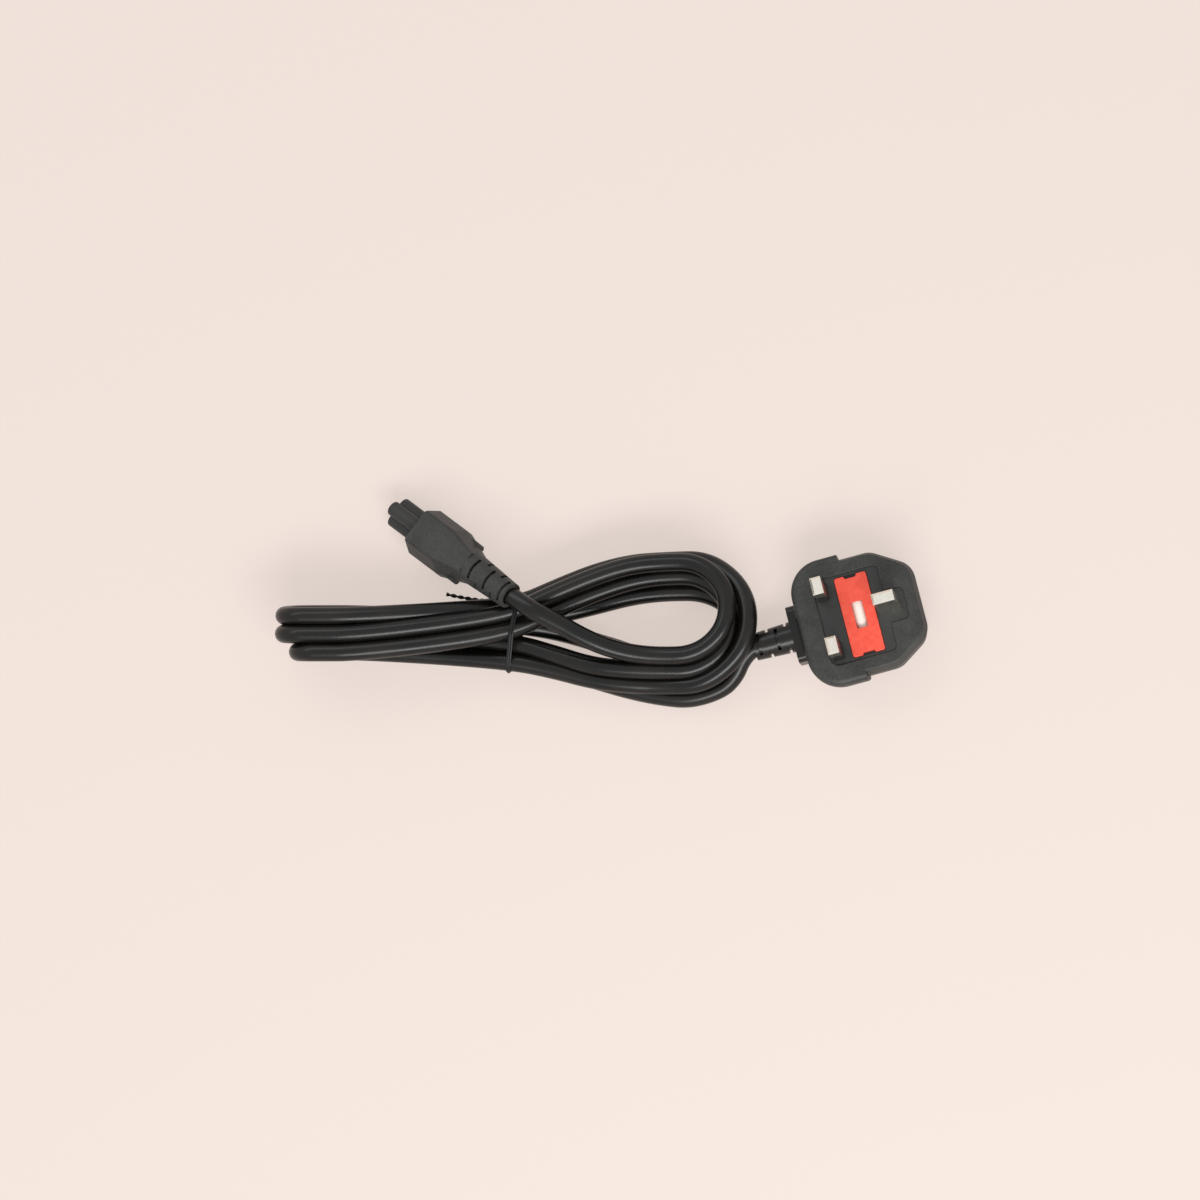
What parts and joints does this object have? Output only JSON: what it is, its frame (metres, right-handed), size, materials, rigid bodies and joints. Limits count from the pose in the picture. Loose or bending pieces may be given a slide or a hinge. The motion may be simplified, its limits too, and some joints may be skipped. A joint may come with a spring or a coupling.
{
  "type": "mains plug with lead",
  "caption": "Moulded mains plug with flat pins and a lift-out fuse carrier, a folded and tied round cord, and a cloverleaf appliance connector.",
  "frame": {"origin": "on the back of the plug, under the middle of its body", "axes": "+X from the cord to the earth pin, +Y towards the line pin, +Z along the pins, away from the body"},
  "size_m": [0.2355, 0.1114, 0.0412],
  "materials": {
    "plug_black": "fine grained dark grey-black PVC",
    "bridge_black": "smooth black nylon",
    "sleeve_black": "black nylon",
    "pin_nickel": "nickel plated, satin",
    "carrier_red": "moulded red",
    "fuse_white": "plain white, with no print",
    "fuse_cap": "nickel plated",
    "contact_brass": "bright",
    "core_brown": "brown PVC",
    "core_blue": "blue PVC",
    "core_green": "green and yellow PVC",
    "cord_black": "black PVC sheath",
    "tie_black": "plastic covered wire",
    "connector_black": "dark grey-black PVC",
    "nose_black": "smooth black nylon"
  },
  "bodies": {
    "plug": {"plug_body": "plug_black", "plug_cord_guard": "plug_black", "pin_bridge": "bridge_black", "line_pin_sleeve": "sleeve_black", "neutral_pin_sleeve": "sleeve_black", "earth_pin": "pin_nickel", "line_pin": "pin_nickel", "neutral_pin": "pin_nickel", "line_fuse_clip": "contact_brass", "load_fuse_clip": "contact_brass", "neutral_crimp": "contact_brass", "earth_crimp": "contact_brass", "connector_line_contact": "contact_brass", "connector_neutral_contact": "contact_brass", "connector_earth_contact": "contact_brass", "plug_line_core": "core_brown", "connector_line_core": "core_brown", "plug_neutral_core": "core_blue", "connector_neutral_core": "core_blue", "plug_earth_core": "core_green", "connector_earth_core": "core_green", "cord_lead": "cord_black", "cord_hank": "cord_black", "cord_tail": "cord_black", "twist_tie": "tie_black", "connector_body": "connector_black", "connector_nose": "nose_black"},
    "fuse_carrier": {"fuse_carrier": "carrier_red", "fuse_barrel": "fuse_white", "fuse_line_cap": "fuse_cap", "fuse_load_cap": "fuse_cap"}
  },
  "joints": [
    {"name": "carrier_lift", "type": "slide", "parent": "plug", "child": "fuse_carrier", "axis": [0, 0, 1], "range_m": [0, 0.012]}
  ]
}
